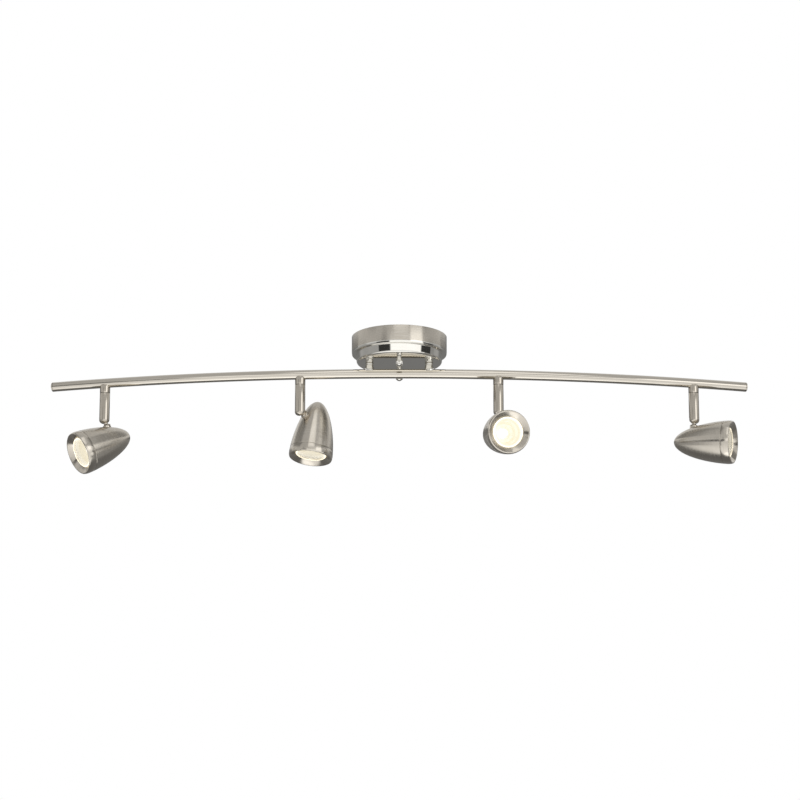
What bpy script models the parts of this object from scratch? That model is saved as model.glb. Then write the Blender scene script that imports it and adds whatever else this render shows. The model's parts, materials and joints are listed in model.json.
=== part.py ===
"""Ceiling track light with a round canopy, a bowed tube and four spot heads that swivel and tilt.

Row frame, in metres: the origin is the centre of the mounting plate's top face, on the ceiling plane.
+Z points up into the ceiling, X runs along the bar, and the bar bows towards -Y.

Each head hangs on a hollow stem. The stem swivels under a saddle collar that is fixed to the bar. A
hollow ball stud on the head sits in the stem's socket and tilts in the socket's slot, from level to
straight down. Head pieces are modelled about the ball's centre: local +X is the way the lamp shines
and local +Z points from the head's axis to the ball.
"""

import math

import bmesh
import bpy
from mathutils import Matrix, Vector

MM = 0.001
GAP = 0.3 * MM

# Canopy: a two-step pressed cup against the ceiling.
CANOPY_RADIUS = 60 * MM
CANOPY_STEP_RADIUS = 54.8 * MM
CANOPY_STEP_DEPTH = 22.9 * MM
CANOPY_DEPTH = 34 * MM
CANOPY_WALL = 1.2 * MM
CANOPY_FILLET = 2.8 * MM
POST_X = 37.6 * MM
CAP_NUT_Y = 35 * MM
GROUND_SCREW = (0, 17 * MM, 0)
WIRE_CONNECTOR = (-18 * MM, -16 * MM, -19 * MM)

# Bar: a round tube bent to a circular arc in the horizontal plane.
BAR_RADIUS = 6 * MM
BAR_BORE = 5 * MM
BAR_Z = -47.4 * MM
BAR_HALF_CHORD = 444.5 * MM
BOW_RADIUS = 1570 * MM
END_CAP_THICKNESS = 2 * MM
WIRE_HOLE_RADIUS = 3 * MM

# Stems hang from collars, evenly spaced along the bar.
HEAD_SPACING = 250 * MM
STEM_RADIUS = 6.5 * MM
STEM_BORE = 5 * MM
COLLAR_TOP_Z = BAR_Z - 3 * MM
COLLAR_BOTTOM_Z = BAR_Z - 13.4 * MM
PIVOT_Z = BAR_Z - 48.5 * MM
STEM_TOP = COLLAR_BOTTOM_Z - GAP - PIVOT_Z
STEM_TOP_WALL = 2.1 * MM
STEM_END = 4.5 * MM
SWIVEL_SCREW_RADIUS = 2.7 * MM

# Ball joint between stem and head.
BALL_RADIUS = 4.7 * MM
NECK_RADIUS = 2.7 * MM
SLOT_HALF_WIDTH = 3.1 * MM
SLOT_TOP = 1.1 * MM
FLANGE_RADIUS = 5.1 * MM
SHANK_RADIUS = 2.9 * MM
LEAD_BORE = 1.3 * MM

# Head: a bullet-shaped shell with a screwed-on front ring. A station is a distance from the back tip.
HEAD_OFFSET = 29.1 * MM
STUD_STATION = 24.7 * MM
SHELL_RADIUS = 27.7 * MM
SHELL_CURVE_LENGTH = 73.6 * MM
SHELL_CURVE_POWER = 1.6
SHELL_WALL = 1.2 * MM
SHELL_FRONT = 66 * MM
HEAD_LENGTH = 76.8 * MM
LENS_RADIUS = 18.8 * MM

# Where each head points at rest, in degrees: the aim's compass angle from +X, and its dip below level.
HEAD_AIMS = ((209.0, 25.0), (227.5, 79.5), (284.5, 9.5), (341.0, 4.5))

CANOPY_SEGMENTS = 36
SHELL_SEGMENTS = 18
STEM_SEGMENTS = 14
BAR_SIDES = 14


# ---------------------------------------------------------------- tools


def clear_scene():
    """Removes whatever the scene holds."""
    for thing in list(bpy.data.objects):
        bpy.data.objects.remove(thing, do_unlink=True)


def finish(name, rgb, roughness, metallic, alpha=1.0):
    """A Principled material of one colour."""
    made = bpy.data.materials.new(name)
    made.use_nodes = True
    shader = made.node_tree.nodes["Principled BSDF"]
    shader.inputs["Base Color"].default_value = (*rgb, 1.0)
    shader.inputs["Roughness"].default_value = roughness
    shader.inputs["Metallic"].default_value = metallic
    shader.inputs["Alpha"].default_value = alpha
    return made


def to_mesh(name, bm):
    """Closes up a bmesh and turns it into a mesh with smooth round faces."""
    bmesh.ops.remove_doubles(bm, verts=bm.verts, dist=0.001 * MM)
    bmesh.ops.recalc_face_normals(bm, faces=bm.faces)
    mesh = bpy.data.meshes.new(name)
    bm.to_mesh(mesh)
    bm.free()
    mesh.shade_smooth()
    mesh.set_sharp_from_angle(angle=math.radians(35))
    return mesh


def arc(centre, radius, start, end, steps):
    """Points of a circular arc in the (radius, height) plane. Angles in degrees, 0 pointing outwards."""
    angles = [math.radians(start + (end - start) * i / steps) for i in range(steps + 1)]
    return [(centre[0] + radius * math.cos(a), centre[1] + radius * math.sin(a)) for a in angles]


def turned(name, profile, segments):
    """Spins (radius, height) points about Z. A profile that starts off the axis closes on itself."""
    bm = bmesh.new()
    verts = [bm.verts.new((r, 0, z)) for r, z in profile]
    edges = [bm.edges.new(pair) for pair in zip(verts, verts[1:])]
    if profile[0][0] > 0:
        edges.append(bm.edges.new((verts[-1], verts[0])))
    bmesh.ops.spin(bm, geom=verts + edges, axis=(0, 0, 1), cent=(0, 0, 0),
                   angle=math.tau, steps=segments, use_merge=True)
    return to_mesh(name, bm)


def extruded(name, outline, low, high):
    """Extrudes a closed XY outline from height low to height high."""
    bm = bmesh.new()
    face = bm.faces.new([bm.verts.new((x, y, low)) for x, y in outline])
    lifted = bmesh.ops.extrude_face_region(bm, geom=[face])
    top = [v for v in lifted["geom"] if isinstance(v, bmesh.types.BMVert)]
    bmesh.ops.translate(bm, verts=top, vec=(0, 0, high - low))
    return to_mesh(name, bm)


def rod(name, radius, low, high, segments=12):
    """A plain cylinder along Z."""
    return turned(name, [(0, low), (radius, low), (radius, high), (0, high)], segments)


def ring(name, inner, outer, low, high, segments=12):
    """A plain hollow cylinder along Z."""
    return turned(name, [(inner, low), (outer, low), (outer, high), (inner, high)], segments)


def polygon(radius, sides, turn=0.0):
    """Corners of a regular polygon, turned by degrees."""
    angles = [math.radians(turn + 360 * i / sides) for i in range(sides)]
    return [(radius * math.cos(a), radius * math.sin(a)) for a in angles]


def rounded_slot(half_width, start, end, steps=4):
    """Outline of a round-ended slot along X from centre start to centre end."""
    right = arc((end, 0), half_width, -90, 90, steps)
    left = arc((start, 0), half_width, 90, 270, steps)
    return right + left


def moved(mesh, matrix):
    """The mesh itself, transformed in place."""
    mesh.transform(matrix)
    return mesh


def combined(name, base, cut=(), join=()):
    """Cuts meshes out of base, then joins meshes on, and returns the resulting mesh."""
    work = bpy.data.objects.new(name + "_work", base)
    bpy.context.scene.collection.objects.link(work)
    tools = []
    for operation, meshes in (("DIFFERENCE", cut), ("UNION", join)):
        for mesh in meshes:
            tool = bpy.data.objects.new(mesh.name + "_tool", mesh)
            bpy.context.scene.collection.objects.link(tool)
            tools.append(tool)
            modifier = work.modifiers.new(operation.title(), "BOOLEAN")
            modifier.operation = operation
            modifier.object = tool
    bpy.context.view_layer.update()
    evaluated = work.evaluated_get(bpy.context.evaluated_depsgraph_get())
    made = bpy.data.meshes.new_from_object(evaluated)
    made.name = name
    for thing in [work, *tools]:
        bpy.data.objects.remove(thing, do_unlink=True)
    return made


def placed(name, mesh, material, parent=None, at=(0, 0, 0), turn=0.0):
    """Adds one named object. Pieces of one design share a mesh, so the material sits on the object."""
    thing = bpy.data.objects.new(name, mesh)
    bpy.context.scene.collection.objects.link(thing)
    if not mesh.materials:
        mesh.materials.append(material)
    thing.location = at
    thing.rotation_euler = (0, 0, turn)
    thing.parent = parent
    return thing


def copies(mesh, places):
    """Copies of a mesh moved to each place."""
    made = []
    for place in places:
        twin = mesh.copy()
        twin.transform(Matrix.Translation(place))
        made.append(twin)
    return made


def smooth_route(points, per_span):
    """Samples a Catmull-Rom curve through the points."""
    knots = [Vector(p) for p in points]
    knots = [2 * knots[0] - knots[1], *knots, 2 * knots[-1] - knots[-2]]
    route = []
    for a, b, c, d in zip(knots, knots[1:], knots[2:], knots[3:]):
        for i in range(per_span):
            t = i / per_span
            route.append(0.5 * (2 * b + (c - a) * t + (2 * a - 5 * b + 4 * c - d) * t**2
                                + (3 * b - a - 3 * c + d) * t**3))
    return [*route, knots[-2]]


def lead_mesh(name, points, radius, per_span):
    """A round lead along a smooth curve through the points."""
    curve = bpy.data.curves.new(name, "CURVE")
    curve.dimensions = "3D"
    curve.bevel_depth = radius
    curve.bevel_resolution = 1
    curve.use_fill_caps = True
    route = smooth_route(points, per_span)
    spline = curve.splines.new("POLY")
    spline.points.add(len(route) - 1)
    for point, place in zip(spline.points, route):
        point.co = (*place, 1.0)
    holder = bpy.data.objects.new(name + "_work", curve)
    bpy.context.scene.collection.objects.link(holder)
    bpy.context.view_layer.update()
    evaluated = holder.evaluated_get(bpy.context.evaluated_depsgraph_get())
    made = bpy.data.meshes.new_from_object(evaluated)
    bpy.data.objects.remove(holder, do_unlink=True)
    bm = bmesh.new()
    bm.from_mesh(made)
    return to_mesh(name, bm)


# ---------------------------------------------------------------- the bar's arc


def bar_angle(x):
    """Angle round the bow's centre of the point of the bar at x."""
    return math.asin(x / BOW_RADIUS)


def bar_point(x, z=BAR_Z):
    """Centre-line point of the bar at x."""
    return Vector((x, BOW_RADIUS * (1 - math.cos(bar_angle(x))), z))


def bar_sweep(name, profile, from_x, to_x, steps):
    """Sweeps a closed (outwards, height) outline round the bow's centre, with flat ends."""
    start, end = bar_angle(from_x), bar_angle(to_x)
    bm = bmesh.new()
    corners = [bm.verts.new((0, -BOW_RADIUS + y, z)) for y, z in profile]
    face = bm.faces.new(corners)
    bmesh.ops.rotate(bm, verts=corners, cent=(0, 0, 0), matrix=Matrix.Rotation(start, 3, "Z"))
    bmesh.ops.spin(bm, geom=[face, *face.edges, *corners], axis=(0, 0, 1), cent=(0, 0, 0),
                   angle=end - start, steps=steps, use_duplicate=False)
    bmesh.ops.translate(bm, verts=bm.verts, vec=(0, BOW_RADIUS, BAR_Z))
    return to_mesh(name, bm)


# ---------------------------------------------------------------- canopy and mounting


def mounting_plate():
    """A stamped cross: slots along X take the outlet box's screws, holes along Y the canopy's studs."""
    arm, half_width, thickness = 50 * MM, 10 * MM, 1.6 * MM
    outline = []
    for quarter in range(4):
        turn = Matrix.Rotation(-quarter * math.pi / 2, 2)
        for corner in ((half_width, half_width), (arm - 3 * MM, half_width), (arm, half_width - 3 * MM),
                       (arm, 3 * MM - half_width), (arm - 3 * MM, -half_width)):
            outline.append(tuple(turn @ Vector(corner)))
    plate = extruded("mounting_plate", outline[::-1], -thickness, 0)
    slot = rounded_slot(2.6 * MM, 34 * MM, 44.5 * MM)
    cutters = [extruded("slot", [(side * x, y) for x, y in slot], -3 * MM, MM) for side in (1, -1)]
    stud_hole = rod("stud_hole", 2.5 * MM, -3 * MM, MM)
    cutters += copies(stud_hole, [(0, side * CAP_NUT_Y, 0) for side in (1, -1)])
    cutters.append(moved(rod("ground_hole", 2.1 * MM, -3 * MM, MM), Matrix.Translation(GROUND_SCREW)))
    return combined("mounting_plate", plate, cut=cutters)


def canopy_stud():
    """A stud with a hex shoulder under the plate. A cap nut screws onto its lower end."""
    shank = rod("stud", 2.1 * MM, -41 * MM, -0.4 * MM)
    shoulder = extruded("shoulder", polygon(4.5 * MM, 6), -4.6 * MM, -1.9 * MM)
    return combined("canopy_stud", shank, join=[shoulder])


def ground_screw():
    """The earth screw, with its pan head under the plate."""
    profile = [(0, -0.4 * MM), (1.8 * MM, -0.4 * MM), (1.8 * MM, -1.9 * MM), (4 * MM, -1.9 * MM),
               (4 * MM, -3.2 * MM), (3 * MM, -4.2 * MM), (0, -4.4 * MM)]
    return turned("ground_screw", profile, 12)


def canopy():
    """The cup: a tall upper band, a narrower lower step, a rounded edge and a flat floor with four holes."""
    wall, fillet = CANOPY_WALL, CANOPY_FILLET
    lower_centre = (CANOPY_STEP_RADIUS - fillet, fillet - CANOPY_DEPTH)
    outside = [(CANOPY_RADIUS, 0), (CANOPY_RADIUS, 0.9 * MM - CANOPY_STEP_DEPTH),
               (CANOPY_RADIUS - 0.9 * MM, -CANOPY_STEP_DEPTH), (CANOPY_STEP_RADIUS, -CANOPY_STEP_DEPTH)]
    outside += arc(lower_centre, fillet, 0, -90, 3)
    inside = arc(lower_centre, fillet - wall, -90, 0, 2)
    inside += [(CANOPY_STEP_RADIUS - wall, wall - CANOPY_STEP_DEPTH),
               (CANOPY_RADIUS - wall, wall - CANOPY_STEP_DEPTH), (CANOPY_RADIUS - wall, 0)]
    profile = [(0, wall - CANOPY_DEPTH), *inside, *outside, (0, -CANOPY_DEPTH)]
    cup = moved(turned("canopy", profile, CANOPY_SEGMENTS), Matrix.Rotation(math.pi / CANOPY_SEGMENTS, 4, "Z"))
    low, high = -CANOPY_DEPTH - 2 * MM, -CANOPY_DEPTH + 4 * MM
    cutters = copies(rod("post_hole", 4.1 * MM, low, high), [(side * POST_X, 0, 0) for side in (1, -1)])
    cutters += copies(rod("stud_hole", 2.5 * MM, low, high), [(0, side * CAP_NUT_Y, 0) for side in (1, -1)])
    return combined("canopy", cup, cut=cutters)


def cap_nut():
    """A finial nut under the canopy: a bell that widens to a band, a domed end and a blind hole."""
    top = -CANOPY_DEPTH - GAP
    profile = [(0, top - 7.6 * MM), (2.5 * MM, top - 7.6 * MM), (2.5 * MM, top), (3 * MM, top),
               (3.2 * MM, top - 2.4 * MM), (3.9 * MM, top - 5.4 * MM), (3.6 * MM, top - 6 * MM),
               (4.3 * MM, top - 6.5 * MM), (4.3 * MM, top - 11 * MM), (3.4 * MM, top - 12.4 * MM),
               (0, top - 13 * MM)]
    return turned("cap_nut", profile, 12)


def post():
    """A short flared spacer from the canopy's floor to the bar, hollow for the nipple and coped to the tube."""
    top, bottom = -CANOPY_DEPTH - GAP, BAR_Z + 3 * MM
    profile = [(4.1 * MM, top), (5.2 * MM, top), (5.2 * MM, top - 2.5 * MM), (5.5 * MM, top - 5 * MM),
               (6.3 * MM, top - 7.4 * MM), (6.3 * MM, bottom), (4.1 * MM, bottom)]
    body = turned("post", profile, 16)
    saddle = Matrix.Translation((0, bar_point(POST_X).y, BAR_Z)) @ Matrix.Rotation(math.pi / 2, 4, "Y")
    tube = moved(rod("tube", BAR_RADIUS + GAP, -12 * MM, 12 * MM, 18), saddle)
    return combined("post", body, cut=[tube])


def post_nipple():
    """A threaded tube that clamps the canopy's floor to a post and lets the wires through."""
    return ring("post_nipple", 2.6 * MM, 3.8 * MM, BAR_Z + BAR_RADIUS + 2 * MM, 7 * MM - CANOPY_DEPTH)


def hex_nut(name, corner_radius, hole_radius, low, high):
    """A plain hex nut along Z."""
    blank = extruded(name, polygon(corner_radius, 6, 30), low, high)
    return combined(name, blank, cut=[rod("thread", hole_radius, low - MM, high + MM)])


def post_lock_nut():
    """The nut that holds a nipple, on the canopy's floor."""
    floor = CANOPY_WALL - CANOPY_DEPTH
    return hex_nut("post_lock_nut", 7 * MM, 4.1 * MM, floor + GAP, floor + 3.6 * MM)


def wire_connector():
    """A tapered twist-on connector, its open end towards +Y."""
    profile = [(0, 0), (3.6 * MM, 0), (4.4 * MM, 2 * MM), (4.4 * MM, 7 * MM), (2.4 * MM, 15 * MM), (0, 15.5 * MM)]
    return moved(turned("wire_connector", profile, 10), Matrix.Rotation(math.pi / 2, 4, "X"))


def supply_lead():
    """The sheathed lead from the left nipple's mouth to the connector."""
    start = Vector((-POST_X, 0, 7.6 * MM - CANOPY_DEPTH))
    end = Vector(WIRE_CONNECTOR) + Vector((0, 0.5 * MM, 0))
    route = [start, start + Vector((0.5 * MM, 0.8 * MM, 4 * MM)), start + Vector((6 * MM, 6 * MM, 9 * MM)),
             end + Vector((-3 * MM, 12 * MM, 1.5 * MM)), end]
    return lead_mesh("supply_lead", route, 1.4 * MM, 3)


# ---------------------------------------------------------------- bar


def stem_stations():
    """The four stems' places along X, from the left."""
    return [(index - 1.5) * HEAD_SPACING for index in range(4)]


def bar_tube():
    """The bowed tube, with a wire hole under each post and above each collar."""
    end_x = BAR_HALF_CHORD - END_CAP_THICKNESS - GAP
    outer = bar_sweep("bar", polygon(BAR_RADIUS, BAR_SIDES), -end_x, end_x, 16)
    inner = bar_sweep("bar_bore", polygon(BAR_BORE, BAR_SIDES), -BAR_HALF_CHORD, BAR_HALF_CHORD, 17)
    hole = rod("wire_hole", WIRE_HOLE_RADIUS, 0, BAR_RADIUS + 2 * MM, 8)
    places = [bar_point(side * POST_X) for side in (1, -1)]
    places += [bar_point(x) - Vector((0, 0, BAR_RADIUS + 2 * MM)) for x in stem_stations()]
    return combined("bar_tube", outer, cut=[inner, *copies(hole, places)])


def end_cap(side):
    """A turned plug: a rim that closes the tube's end and a spigot that fits its bore."""
    profile = [(0, 0), (BAR_RADIUS - 0.6 * MM, 0), (BAR_RADIUS, 0.6 * MM), (BAR_RADIUS, END_CAP_THICKNESS),
               (BAR_BORE - GAP, END_CAP_THICKNESS), (BAR_BORE - GAP, END_CAP_THICKNESS + 6 * MM),
               (0, END_CAP_THICKNESS + 6 * MM)]
    cap = turned("end_cap", profile, BAR_SIDES)
    angle = side * bar_angle(BAR_HALF_CHORD)
    inwards = Matrix.Rotation(angle, 4, "Z") @ Matrix.Rotation(-side * math.pi / 2, 4, "Y")
    return moved(cap, Matrix.Translation(bar_point(side * BAR_HALF_CHORD)) @ inwards)


def bar_harness():
    """The cable that lies in the tube and feeds the four stems."""
    reach = stem_stations()[-1]
    profile = [(y, z + 0.8 * MM) for y, z in polygon(1.5 * MM, 6)]
    return bar_sweep("bar_harness", profile, -reach, reach, 16)


def collar(x):
    """A saddle collar: coped round the tube's underside, flat below, bored for the swivel screw."""
    body = ring("collar", 3 * MM, STEM_RADIUS, COLLAR_BOTTOM_Z, COLLAR_TOP_Z, STEM_SEGMENTS)
    along = Matrix.Rotation(bar_angle(x), 4, "Z") @ Matrix.Rotation(math.pi / 2, 4, "Y")
    tube = moved(rod("tube", BAR_RADIUS + GAP, -12 * MM, 12 * MM, 18),
                 Matrix.Translation((0, 0, BAR_Z)) @ along)
    return combined("collar", body, cut=[tube])


def swivel_screw():
    """A hollow screw through bar and collar. Its flange carries the stem and lets it turn."""
    stem_top = COLLAR_BOTTOM_Z - GAP
    shoulder = stem_top - STEM_TOP_WALL - GAP
    profile = [(1.6 * MM, BAR_Z - 2.5 * MM), (SWIVEL_SCREW_RADIUS, BAR_Z - 2.5 * MM),
               (SWIVEL_SCREW_RADIUS, shoulder), (4.2 * MM, shoulder), (4.2 * MM, shoulder - 2 * MM),
               (1.6 * MM, shoulder - 2 * MM)]
    return turned("swivel_screw", profile, 10)


# ---------------------------------------------------------------- stem and ball joint


def stem():
    """A tube with a closed top, a spherical seat, and a slot on local -X for the ball's neck."""
    mouth = 3.3 * MM
    outer_end = arc((STEM_RADIUS - STEM_END, 0), STEM_END, 0, -73, 4)
    seat_end = math.degrees(math.acos(mouth / STEM_BORE))
    seat = arc((0, 0), STEM_BORE, -seat_end, 0, 3)
    profile = [(3 * MM, STEM_TOP), (STEM_RADIUS - 0.4 * MM, STEM_TOP), (STEM_RADIUS, STEM_TOP - 0.4 * MM),
               *outer_end, (mouth, outer_end[-1][1]), *seat,
               (STEM_BORE, STEM_TOP - STEM_TOP_WALL), (3 * MM, STEM_TOP - STEM_TOP_WALL)]
    body = turned("stem", profile, STEM_SEGMENTS)
    outline = [(-10 * MM, -SLOT_HALF_WIDTH), (SLOT_TOP, -SLOT_HALF_WIDTH),
               *arc((SLOT_TOP, 0), SLOT_HALF_WIDTH, -60, 60, 4), (SLOT_TOP, SLOT_HALF_WIDTH), (-10 * MM, SLOT_HALF_WIDTH)]
    slot = moved(extruded("slot", outline, 0, 10 * MM), Matrix.Rotation(-math.pi / 2, 4, "Y"))
    return combined("stem", body, cut=[slot])


def shell_radius(station, grow=0.0):
    """Outer radius of the bullet at a station."""
    left = max(0.0, 1 - station / SHELL_CURVE_LENGTH)
    return SHELL_RADIUS * math.sqrt(1 - left**SHELL_CURVE_POWER) + grow


def stations(first, last, steps):
    """Stations that crowd towards the rounded back tip."""
    return [first + (last - first) * (i / steps) ** 1.9 for i in range(steps + 1)]


def into_head(mesh):
    """Lays a piece turned about Z, with its stations as heights, along the head's axis."""
    lay = Matrix.Translation((-STUD_STATION, 0, -HEAD_OFFSET)) @ Matrix.Rotation(math.pi / 2, 4, "Y")
    return moved(mesh, lay)


def ball_stud():
    """Ball, neck and flange in one piece, seated on the shell, with a hollow threaded shank inside it."""
    neck_angle = -math.degrees(math.acos(NECK_RADIUS / BALL_RADIUS))
    ball = arc((0, 0), BALL_RADIUS, 90, neck_angle, 7)
    ball[0] = (0, BALL_RADIUS)
    profile = [*ball, (NECK_RADIUS, -5.4 * MM), (3.2 * MM, -6.2 * MM), (4.5 * MM, -6.8 * MM),
               (FLANGE_RADIUS, -7.4 * MM), (FLANGE_RADIUS, -13 * MM), (0, -13 * MM)]
    blank = turned("ball_stud", profile, 12)
    seat_stations = stations(0, SHELL_FRONT, 16)
    keep_out = [(0 if s == 0 else shell_radius(s, GAP), s) for s in seat_stations]
    cutter = turned("seat", [*keep_out, (0, SHELL_FRONT)], 30)
    seat = into_head(moved(cutter, Matrix.Rotation(math.radians(6), 4, "Z")))
    seated = combined("seated", blank, cut=[seat])
    shank = rod("shank", SHANK_RADIUS, -17.7 * MM, -7.5 * MM)
    whole = combined("whole", seated, join=[shank])
    return combined("ball_stud", whole, cut=[rod("bore", LEAD_BORE, -20 * MM, 6 * MM, 8)])


def stud_nut():
    """The nut that holds the ball stud, inside the shell."""
    return hex_nut("stud_nut", 4.9 * MM, SHANK_RADIUS + GAP, -17.3 * MM, -15.1 * MM)


# ---------------------------------------------------------------- head


def head_shell():
    """The spun bullet, open at the front, with one hole for the stud's shank."""
    outside = [(shell_radius(s), s) for s in stations(0, SHELL_FRONT, 9)]
    scale = (SHELL_RADIUS - SHELL_WALL) / SHELL_RADIUS
    inside = [(scale * shell_radius(s - SHELL_WALL), s) for s in stations(SHELL_WALL, SHELL_FRONT, 6)]
    profile = [*outside, *inside[::-1]]
    bm = bmesh.new()
    verts = [bm.verts.new((r, 0, s)) for r, s in profile]
    edges = [bm.edges.new(pair) for pair in zip(verts, verts[1:])]
    bmesh.ops.spin(bm, geom=verts + edges, axis=(0, 0, 1), cent=(0, 0, 0),
                   angle=math.tau, steps=SHELL_SEGMENTS, use_merge=True)
    body = into_head(to_mesh("head_shell", bm))
    return combined("head_shell", body, cut=[rod("hole", SHANK_RADIUS + GAP, -15 * MM, -5 * MM)])


def bezel():
    """The front ring: a narrow lip, an inner cone down to the lens, and a sleeve inside the shell."""
    start = SHELL_FRONT + GAP
    lip = arc((SHELL_RADIUS - 1.7 * MM, HEAD_LENGTH - 1.1 * MM), 1.1 * MM, 0, 120, 3)
    mouth, seat, sleeve = LENS_RADIUS + 0.5 * MM, 24.7 * MM, 25.2 * MM
    profile = [(shell_radius(start), start), (SHELL_RADIUS - 0.1 * MM, HEAD_LENGTH - 5 * MM), *lip,
               (mouth, HEAD_LENGTH - 5 * MM), (mouth, HEAD_LENGTH - 7.6 * MM), (seat, HEAD_LENGTH - 7.6 * MM),
               (seat, HEAD_LENGTH - 15 * MM), (sleeve, HEAD_LENGTH - 15 * MM), (sleeve, start)]
    return into_head(turned("bezel", profile, SHELL_SEGMENTS))


def lamp_body():
    """A 50 mm reflector lamp: face ring, tapered body, oval base and two pins."""
    face, mouth = HEAD_LENGTH - 8 * MM, LENS_RADIUS + 0.5 * MM
    profile = [(0, 30.5 * MM), (14 * MM, 30.5 * MM), (15.5 * MM, 34.5 * MM), (21.6 * MM, 53 * MM),
               (24.3 * MM, 62.5 * MM), (24.3 * MM, face - 0.6 * MM), (23.7 * MM, face), (mouth, face),
               (mouth, face - 2.4 * MM), (0, face - 2.4 * MM)]
    cone = turned("lamp_body", profile, 14)
    oval = [(x * 9.3 * MM, y * 12.2 * MM) for x, y in polygon(1, 10)]
    base = extruded("lamp_base", oval, 23 * MM, 33 * MM)
    pins = [moved(rod("pin", 2.3 * MM, 17 * MM, 25 * MM, 6), Matrix.Translation((0, side * 5 * MM, 0)))
            for side in (1, -1)]
    return into_head(combined("lamp_body", cone, join=[base, *pins]))


def lamp_lens():
    """The lamp's slightly domed front lens."""
    face = HEAD_LENGTH - 4.6 * MM
    profile = [(0, HEAD_LENGTH - 10 * MM), (LENS_RADIUS, HEAD_LENGTH - 10 * MM), (LENS_RADIUS, face),
               (12 * MM, face + 0.9 * MM), (0, face + 1.3 * MM)]
    return into_head(turned("lamp_lens", profile, SHELL_SEGMENTS))


def lamp_holder():
    """The ceramic lampholder: a chamfered block with a socket for each pin."""
    half_x, half_y, chamfer = 6.5 * MM, 9 * MM, 1.5 * MM
    outline = []
    for side_x, side_y in ((1, 1), (-1, 1), (-1, -1), (1, -1)):
        corner = [(side_x * half_x, side_y * (half_y - chamfer)), (side_x * (half_x - chamfer), side_y * half_y)]
        outline += corner if side_x * side_y > 0 else corner[::-1]
    block = extruded("lamp_holder", outline, 10 * MM, 22.6 * MM)
    sockets = [moved(rod("socket", 2.8 * MM, 15.5 * MM, 26 * MM, 8), Matrix.Translation((0, side * 5 * MM, 0)))
               for side in (1, -1)]
    return into_head(combined("lamp_holder", block, cut=sockets))


# ---------------------------------------------------------------- assembly


def build():
    """Makes every piece and puts it in its place."""
    clear_scene()
    nickel = finish("brushed_nickel", (0.62, 0.58, 0.52), 0.3, 1.0)
    zinc = finish("zinc_plated_steel", (0.55, 0.56, 0.57), 0.4, 1.0)
    brass = finish("brass", (0.78, 0.6, 0.28), 0.35, 1.0)
    ceramic = finish("ceramic", (0.85, 0.83, 0.78), 0.5, 0.0)
    lamp_plastic = finish("lamp_plastic", (0.8, 0.8, 0.78), 0.45, 0.0)
    lens = finish("lamp_lens", (1.0, 0.93, 0.76), 0.2, 0.0)
    wire = finish("wire_insulation", (0.12, 0.12, 0.12), 0.5, 0.0)
    connector = finish("connector_plastic", (0.75, 0.5, 0.12), 0.45, 0.0)
    earth = finish("earth_screw", (0.12, 0.4, 0.18), 0.4, 1.0)

    placed("mounting_plate", mounting_plate(), zinc)
    stud, nut = canopy_stud(), cap_nut()
    for name, side in (("front", -1), ("back", 1)):
        placed(f"canopy_stud_{name}", stud, zinc, at=(0, side * CAP_NUT_Y, 0))
        placed(f"cap_nut_{name}", nut, nickel, at=(0, side * CAP_NUT_Y, 0))
    placed("ground_screw", ground_screw(), earth, at=GROUND_SCREW)
    placed("canopy", canopy(), nickel)
    spacer, nipple, lock_nut = post(), post_nipple(), post_lock_nut()
    for name, side in (("left", -1), ("right", 1)):
        place = (side * POST_X, 0, 0)
        placed(f"post_{name}", spacer, nickel, at=place, turn=bar_angle(place[0]))
        placed(f"post_nipple_{name}", nipple, brass, at=place)
        placed(f"post_lock_nut_{name}", lock_nut, brass, at=place)
        placed(f"end_cap_{name}", end_cap(side), nickel)
    placed("wire_connector", wire_connector(), connector, at=WIRE_CONNECTOR)
    placed("supply_lead", supply_lead(), wire)
    placed("bar_tube", bar_tube(), nickel)
    placed("bar_harness", bar_harness(), wire)

    screw, stem_mesh = swivel_screw(), stem()
    head_meshes = [("ball_stud", ball_stud(), nickel), ("stud_nut", stud_nut(), zinc),
                   ("head_shell", head_shell(), nickel), ("bezel", bezel(), nickel),
                   ("lamp_body", lamp_body(), lamp_plastic), ("lamp_lens", lamp_lens(), lens),
                   ("lamp_holder", lamp_holder(), ceramic)]
    for number, (x, (compass, dip)) in enumerate(zip(stem_stations(), HEAD_AIMS), start=1):
        placed(f"collar_{number}", collar(x), nickel, at=bar_point(x, 0))
        placed(f"swivel_screw_{number}", screw, brass, at=bar_point(x, 0))
        swivel = bpy.data.objects.new(f"swivel_{number}", None)
        tilt = bpy.data.objects.new(f"tilt_{number}", None)
        for empty, angles in ((swivel, (0, 0, compass)), (tilt, (0, dip, compass))):
            bpy.context.scene.collection.objects.link(empty)
            empty.location = bar_point(x, PIVOT_Z)
            empty.rotation_euler = [math.radians(angle) for angle in angles]
        placed(f"stem_{number}", stem_mesh, nickel, parent=swivel)
        for name, mesh, material in head_meshes:
            placed(f"{name}_{number}", mesh, material, parent=tilt)


build()
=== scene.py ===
"""Looks of a ceiling track light: a two-step canopy, a bowed tube, and four spot heads that swivel and tilt.

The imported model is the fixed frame, in metres: the origin is the centre of the mounting plate's top face on
the ceiling, +Z is up and X runs along the bar. Turned pieces are modelled about Z, as on a lathe, and then
laid in their place. Sizes in the classes are in millimetres.
"""

import json
import logging
import math
from dataclasses import dataclass, field
from enum import Enum
from typing import Any, Callable, Optional, Sequence

import bpy
from mathutils import Matrix, Vector


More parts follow.
